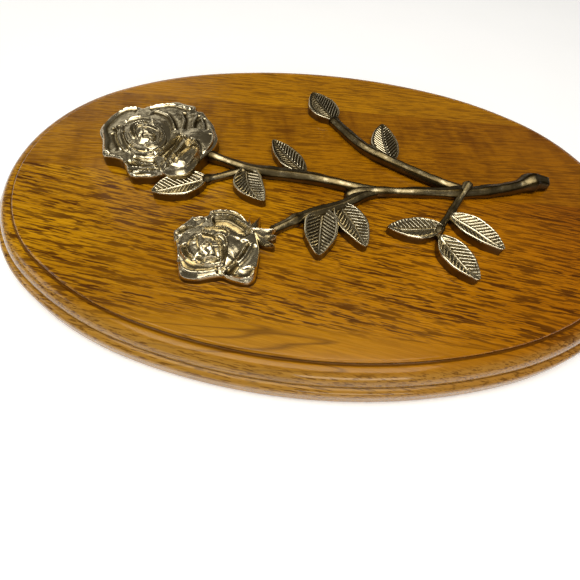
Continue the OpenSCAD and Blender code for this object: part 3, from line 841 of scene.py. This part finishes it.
STEM_SIDES, STEM_FLATS = 36, 6
STEM_WOBBLE, STEM_LUMP = 0.03, 0.03
AXIS_HEIGHT = 0.8
END_LENGTH, END_LEAST, END_BLUNT = 0.8, 0.025, 0.7
TWIST, TWIST_LENGTH = 0.25, 17
SECTION_SIZE, FLATNESS = 1.03, 0.85
UNDERSIDE = -0.6
START_LIFT_LENGTH = 9.0


def rod(route, seed, knots, start_lift=0.0):
    """Closed skin of a cast stem along a route of plan points and radii, flat underneath.

    Each knot is a share of the length, a share of the radius to swell by, and a length. The start can
    be lifted, to lie over another stem."""
    wedge = 2 * math.pi / STEM_FLATS
    path = spline(route, 22)
    run = np.gradient(path[:, :2], axis=0)
    run /= np.hypot(*run.T)[:, None]
    side = np.column_stack([-run[:, 1], run[:, 0]])
    walked = np.concatenate([[0], np.cumsum(np.hypot(*np.diff(path[:, :2], axis=0).T))])
    share = walked / walked[-1]
    radius = path[:, 2] * (1 + STEM_WOBBLE * np.sin(walked / 2.9 + seed) * np.sin(walked / 5.3 + 2 * seed))
    for place, swell, length in knots:
        radius *= 1 + swell * np.exp(-(((share - place) * walked[-1]) / length) ** 2)
    for gap, end_r in ((walked, path[0, 2]), (walked[-1] - walked, path[-1, 2])):
        near = np.clip(gap / (END_LENGTH * end_r), END_LEAST, 1)
        radius *= np.sqrt(1 - (1 - near) ** 2) ** END_BLUNT
    angles = 2 * math.pi * (np.arange(STEM_SIDES) + 0.5) / STEM_SIDES
    rings = []
    for k, (x, y, base_r) in enumerate(path):
        # A hand-finished section: flat flanks that meet in a ridge along the top.
        twist = TWIST * math.sin(walked[k] / TWIST_LENGTH + seed)
        off_ridge = (angles - math.pi / 2 + twist + wedge / 2) % wedge - wedge / 2
        flats = math.cos(wedge / 2) / np.cos(wedge / 2 - np.abs(off_ridge))
        r = radius[k] * (SECTION_SIZE + FLATNESS * (flats - 1))
        across = r * np.cos(angles)
        axis = AXIS_HEIGHT * base_r * min(1, radius[k] / base_r)
        lift = axis + r * np.maximum(np.sin(angles), -AXIS_HEIGHT)
        along = np.full(STEM_SIDES, walked[k]) + seed * 9
        lump = STEM_LUMP * base_r * ripple(along, angles * base_r * 1.3, seed)
        lump = lump + start_lift * math.exp(-((walked[k] / START_LIFT_LENGTH) ** 2))
        lift = np.where(np.sin(angles) > UNDERSIDE, lift + lump, np.minimum(lift, 0))
        rings.append(np.column_stack([x + side[k, 0] * across, y + side[k, 1] * across,
                                      TOP + np.maximum(lift, 0)]))
    return loft(rings[::-1])


# Routes of plan points and radii.
MAIN = [(12, -15, 2.2), (23, -11, 3.1), (50, -8, 2.8), (76, -6, 3.3), (96, -2.2, 3.6), (110, 2, 3.9),
        (120, 6.3, 4.6), (127, 6.9, 4.2), (131, 6.8, 3.2)]
BIG_ROSE_STEM = [(-68, 8, 3.2), (-46, 1, 3.0), (-33, -2, 3.3), (-7, -4, 3.6), (22, -9, 3.1),
                 (38, -9, 2.0)]
SMALL_ROSE_STEM = [(-26, -43, 2.6), (-16, -36, 2.8), (-7, -30, 2.8), (10, -22, 3.0), (22, -14, 3.0),
                   (34, -9, 2.2)]
BRANCH = [(5, 51, 3.0), (22, 28, 3.4), (34, 18, 3.5), (55, 6, 3.4), (76, -3, 3.2), (90, -5, 2.2)]
TWIG = [(81, -1.5, 2.6), (77, -8, 2.3), (69, -20.5, 1.9), (60.5, -33, 1.9), (60, -41, 1.6)]
SHORT_TWIG = [(-42, 0, 2.2), (-55, -7, 2.2), (-66, -12, 2.4)]


def build_stems(metal):
    """Stems and twigs, which run into each other."""
    main_knots = [(0.05, 0.2, 5), (0.18, 0.12, 4), (0.34, 0.15, 5), (0.52, 0.3, 4), (0.66, 0.12, 4),
                  (0.9, 0.32, 4)]
    stems = {
        "main_stem": rod(MAIN, 1, main_knots),
        "big_rose_stem": rod(BIG_ROSE_STEM, 2, [(0.04, 0.25, 4), (0.36, 0.18, 5), (0.93, 0.15, 6)]),
        "small_rose_stem": rod(SMALL_ROSE_STEM, 3, [(0.22, 0.3, 2.5), (0.42, 0.12, 4), (0.75, 0.15, 4)]),
        "upper_branch": rod(BRANCH, 4, [(0.02, 0.15, 3), (0.42, 0.12, 6)]),
        "leaf_twig": rod(TWIG, 5, [(0.05, 0.15, 3), (0.45, 0.25, 3), (0.8, 0.4, 3)], 4.2),
        "short_twig": rod(SHORT_TWIG, 6, [(0.45, 0.15, 3), (0.88, 0.35, 2)]),
    }
    for node, skin in stems.items():
        cast(node, skin, metal, sharp_angle=60, rounds=6, patina=0.09)


# ---- leaves -----------------------------------------------------------------

STATIONS_ALONG, STATIONS_ACROSS = 131, 61
LEAF_H, BASE_DROP = 5.2, 1.2
TIP_HALF = 0.45
BOWL_REACH = 0.9
LIP_H, LIP_PLACE, LIP_THICK = 0.4, 0.93, 0.55
MIDRIB_H, MIDRIB_THICK = 0.55, 0.42
VEIN_H, VEIN_GAP, VEIN_SLANT = 0.42, 2.3, 0.95
WORN_VEINS = 0.2
LEAF_RIPPLE = 0.06
FAR_STEEPNESS, NEAR_STEEPNESS = 1.25, 4.0
DEEP, SHALLOW = 2.2, 1.1
LEAF_PATINA = 0.2


def leaf(base, tip, width, bend, valley, seed):
    """Closed skin of a cast leaf: raised rim, valley along a thin midrib, slanting side veins.

    The half nearer the board's front edge is flatter, with its veins worn low."""
    base, tip = np.array(base, float), np.array(tip, float)
    length = np.hypot(*(tip - base))
    ahead = (tip - base) / length
    side = np.array([-ahead[1], ahead[0]])
    across = np.linspace(-1, 1, STATIONS_ACROSS)
    frontward = np.clip(-np.sign(across) * side[1], 0, 1)
    steepness = FAR_STEEPNESS + (NEAR_STEEPNESS - FAR_STEEPNESS) * frontward
    rings = []
    for s in np.linspace(0, 1, STATIONS_ALONG):
        half = TIP_HALF + (width / 2 - TIP_HALF) * math.sin(math.pi * s**0.85) ** 0.8
        half *= 1 + 0.02 * math.sin(17 * s + seed)
        middle = base + ahead * length * s + side * bend * math.sin(math.pi * s)
        spread = min(1.0, half / (0.35 * width))
        rim = LEAF_H - BASE_DROP * (1 - s) ** 3
        far = np.abs(across) * half
        bowl = valley * spread * (1 - np.clip(np.abs(across) / BOWL_REACH, 0, 1) ** steepness)
        lip = LIP_H * spread * np.exp(-(((np.abs(across) - LIP_PLACE) * half / LIP_THICK) ** 2))
        midrib = MIDRIB_H * spread * np.exp(-((far / MIDRIB_THICK) ** 2))
        slant = (s * length - VEIN_SLANT * far) / VEIN_GAP + 0.25 * (across > 0)
        vein = VEIN_H * np.maximum(np.cos(2 * math.pi * slant), -0.4) * spread
        # Veins fade out near the rim, the midrib, the base and the tip.
        vein *= np.clip((BOWL_REACH - np.abs(across)) / 0.12, 0, 1) * np.clip((far - 0.5) / 0.6, 0, 1)
        vein *= np.clip(s / 0.1, 0, 1) * np.clip((1 - s) / 0.06, 0, 1)
        vein *= 1 - (1 - WORN_VEINS) * frontward
        x = middle[0] + side[0] * half * across
        y = middle[1] + side[1] * half * across
        z = rim - bowl + lip + midrib + vein + LEAF_RIPPLE * ripple(x, y, seed)
        # The outer edge turns over the rim and drops to the board as an upright wall.
        out = np.array([0.18, 0.3, 0.38, 0.45])
        down = np.array([0.25, 0.75, rim * 0.6, rim])
        edge = []
        for sign in (-1, 1):
            wall = middle[:, None] + side[:, None] * sign * (half + out)
            level = np.maximum(z[0 if sign < 0 else -1] - down, 0)
            level[-1] = 0
            edge.append(np.column_stack([wall.T, level]))
        top = np.column_stack([x, y, z])
        rings.append(np.vstack([edge[0][::-1], top, edge[1]]) + (0, 0, TOP))
    return loft(rings[::-1])


# Each leaf: its base and tip, width, bend and valley depth.
LEAVES = {
    "leaf_beside_big_rose": ((-63.5, -10.5), (-89, -25), 16.5, 0, DEEP),
    "leaf_in_front_of_stem": ((-43, 1), (-31, -25.5), 15.5, -3.5, DEEP),
    "leaf_behind_stem": ((-10, -1), (-30, 23), 13, 1, SHALLOW),
    "leaf_pair_left": ((0, -25), (-2, -56.5), 17, 0, DEEP),
    "leaf_pair_right": ((8, -21), (21, -49), 15, 1, DEEP),
    "leaf_branch_tip": ((7.5, 49), (-7.5, 74.5), 18, 1, SHALLOW),
    "leaf_branch_side": ((40, 14), (37, 46.5), 16, 1.5, SHALLOW),
    "leaf_twig_left": ((62, -32), (33, -36), 13, 1, DEEP),
    "leaf_twig_right": ((68, -23), (90, -44), 14, 1, DEEP),
    "leaf_twig_end": ((60, -38), (73, -63), 15, -0.5, DEEP),
}


def build_leaves(metal):
    """All ten leaves. The shallow ones have more patina."""
    for seed, (node, shape) in enumerate(LEAVES.items()):
        patina = LEAF_PATINA if shape[-1] == SHALLOW else 0.0
        cast(node, leaf(*shape, seed), metal, sharp_angle=60, rounds=8, reach=0.17, patina=patina)


CALYX = (-34.5, -45.5)
# Each sepal: its direction in degrees, length and width.
SEPALS = [(103, 10, 4.2), (76, 9.5, 4.4), (14, 11.5, 5.2), (-10, 12, 5.2), (-37, 14, 5.4)]
SEPAL_H, SEPAL_DROP, SEPAL_WAVE = 6.0, 1.0, 0.3
SIDE_FALL, KEEL_H, KEEL_THICK = 2.6, 0.4, 0.35


def sepal(turn, length, width, seed):
    """Closed skin of one narrow ridged sepal of the small rose."""
    ahead = np.array([math.cos(math.radians(turn)), math.sin(math.radians(turn))])
    side = np.array([-ahead[1], ahead[0]])
    across = np.linspace(-1, 1, 17)
    rings = []
    for s in np.linspace(0, 1, 40):
        half = 0.2 + (width / 2) * (1 - s) ** 0.45 * (0.7 + 0.5 * math.sin(math.pi * s))
        middle = np.array(CALYX) + ahead * length * s + side * 0.6 * math.sin(3 * s + seed)
        peak = SEPAL_H - SEPAL_DROP * s**2 + SEPAL_WAVE * math.sin(4 * s + seed)
        x, y = middle[:, None] + side[:, None] * half * across
        keel = KEEL_H * np.exp(-((across * half / KEEL_THICK) ** 2))
        z = peak - SIDE_FALL * np.abs(across) ** 1.5 * min(1, half) + keel
        wall = np.array([[x[0], y[0], 0], [x[-1], y[-1], 0]])
        rings.append(np.vstack([wall[:1], np.column_stack([x, y, z]), wall[1:]]) + (0, 0, TOP))
    return loft(rings[::-1])


def build_sepals(metal):
    """The small rose's fan of sepals, in one piece."""
    fan = merge([sepal(*one, seed) for seed, one in enumerate(SEPALS)])
    cast("small_rose_sepals", fan, metal, sharp_angle=60, rounds=6)


# ---- fixings, stage, light and camera ---------------------------------------

HARDWARE = ("mounting_studs", "stud_washers", "stud_nuts", "hanger_plate", "hanger_screws")
FLOOR_HALF, FLOOR_Z = 2500, -0.3
LIGHT_COLOUR = (1.0, 0.96, 0.88)


def dress_hardware():
    """Gives the CAD fixings their plated steel."""
    steel = zinc_steel()
    for node in HARDWARE:
        for material_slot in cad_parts[node].material_slots:
            material_slot.material = steel


def build_floor():
    """A wide pale floor just under the board's back."""
    points = [(x * FLOOR_HALF, y * FLOOR_HALF, FLOOR_Z) for x, y in ((-1, -1), (1, -1), (1, 1), (-1, 1))]
    floor = mesh_object("floor", points, [(0, 1, 2, 3)])
    floor.data.materials.append(floor_paper())


def area_light(name, place, aim, size, power):
    """A soft rectangular light, placed and aimed in metres."""
    data = bpy.data.lights.new(name, "AREA")
    data.shape = "RECTANGLE"
    data.size, data.size_y = size
    data.energy = power
    data.color = LIGHT_COLOUR
    light = bpy.data.objects.new(name, data)
    light.location = place
    light.rotation_euler = (Vector(aim) - Vector(place)).to_track_quat("-Z", "Y").to_euler()
    bpy.context.scene.collection.objects.link(light)


def build_lights():
    """A soft overhead key, weaker lights around it and a dim room."""
    area_light("key", (-0.05, -0.13, 1.0), (-0.05, -0.1, 0), (1.1, 0.5), 9)
    area_light("left", (-1.2, -0.2, 0.6), (0, 0, 0), (0.4, 0.5), 1.3)
    area_light("back_left", (-0.9, 1.2, 0.4), (0, 0, 0), (1.2, 0.4), 1.3)
    area_light("upper_left", (-0.6, 0.9, 1.0), (0, 0, 0), (0.5, 0.4), 0.5)
    area_light("front", (0.4, -1.5, 0.7), (0, 0, 0), (0.8, 0.4), 4.8)
    world = bpy.data.worlds.new("room")
    world.use_nodes = True
    background = world.node_tree.nodes["Background"]
    background.inputs["Color"].default_value = (1.0, 0.9, 0.74, 1)
    background.inputs["Strength"].default_value = 0.1
    bpy.context.scene.world = world
    bpy.context.scene.view_settings.view_transform = "Standard"


CAMERA_PLACE = (-18.7, -158.1, TOP + 155.1)
CAMERA_AZIMUTH, CAMERA_ELEVATION, CAMERA_ROLL = -1.38, 53.58, 5.73
CAMERA_LENS, SENSOR = 23.9, 36
CAMERA_SHIFT_Y = -0.0914


def build_camera():
    """The main view: close, wide and slightly rolled."""
    azimuth, elevation, roll = (math.radians(a) for a in (CAMERA_AZIMUTH, CAMERA_ELEVATION, CAMERA_ROLL))
    back = Vector((math.sin(azimuth) * math.cos(elevation), -math.cos(azimuth) * math.cos(elevation),
                   math.sin(elevation)))
    right = Vector((0, 0, 1)).cross(back).normalized()
    up = back.cross(right)
    x_axis = right * math.cos(roll) + up * math.sin(roll)
    y_axis = up * math.cos(roll) - right * math.sin(roll)
    data = bpy.data.cameras.new("camera")
    data.lens = CAMERA_LENS
    data.sensor_width = SENSOR
    data.shift_y = CAMERA_SHIFT_Y
    data.clip_start = 0.01
    camera = bpy.data.objects.new("camera", data)
    turn = Matrix((x_axis, y_axis, back)).transposed().to_4x4()
    camera.matrix_world = Matrix.Translation(Vector(CAMERA_PLACE) * MM) @ turn
    bpy.context.scene.collection.objects.link(camera)
    bpy.context.scene.camera = camera


build_board()
METAL = cast_metal()
build_roses(METAL)
build_stems(METAL)
build_leaves(METAL)
build_sepals(METAL)
dress_hardware()
build_floor()
build_lights()
build_camera()
